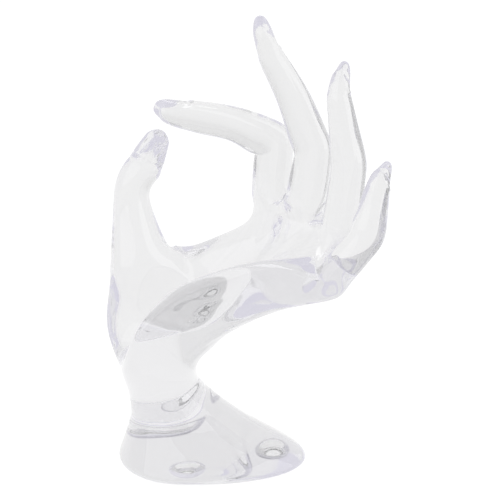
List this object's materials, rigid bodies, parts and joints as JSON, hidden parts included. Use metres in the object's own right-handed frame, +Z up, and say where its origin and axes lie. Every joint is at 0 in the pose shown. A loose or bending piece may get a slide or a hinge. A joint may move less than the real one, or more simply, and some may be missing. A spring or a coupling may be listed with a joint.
{
  "type": "hand jewelry display",
  "caption": "Clear moulded plastic hand with its thumb and first finger curled together, on a flared foot, that holds rings, bracelets and chains.",
  "frame": {"origin": "on the shelf, under the middle of the object's outline seen from above", "axes": "+Z up, +X from the heel of the foot to its narrow end, the way the palm leans out, -Y towards the little finger's side, which the picture faces"},
  "size_m": [0.1045, 0.0659, 0.1676],
  "materials": {
    "clear_plastic": "polished, solid and see-through, with a faint violet tint",
    "clear_bumper": "clear soft bumper"
  },
  "bodies": {
    "root": {"hand": "clear_plastic", "base": "clear_plastic", "bumper_front": "clear_bumper", "bumper_back": "clear_bumper", "bumper_tip": "clear_bumper"}
  },
  "joints": []
}
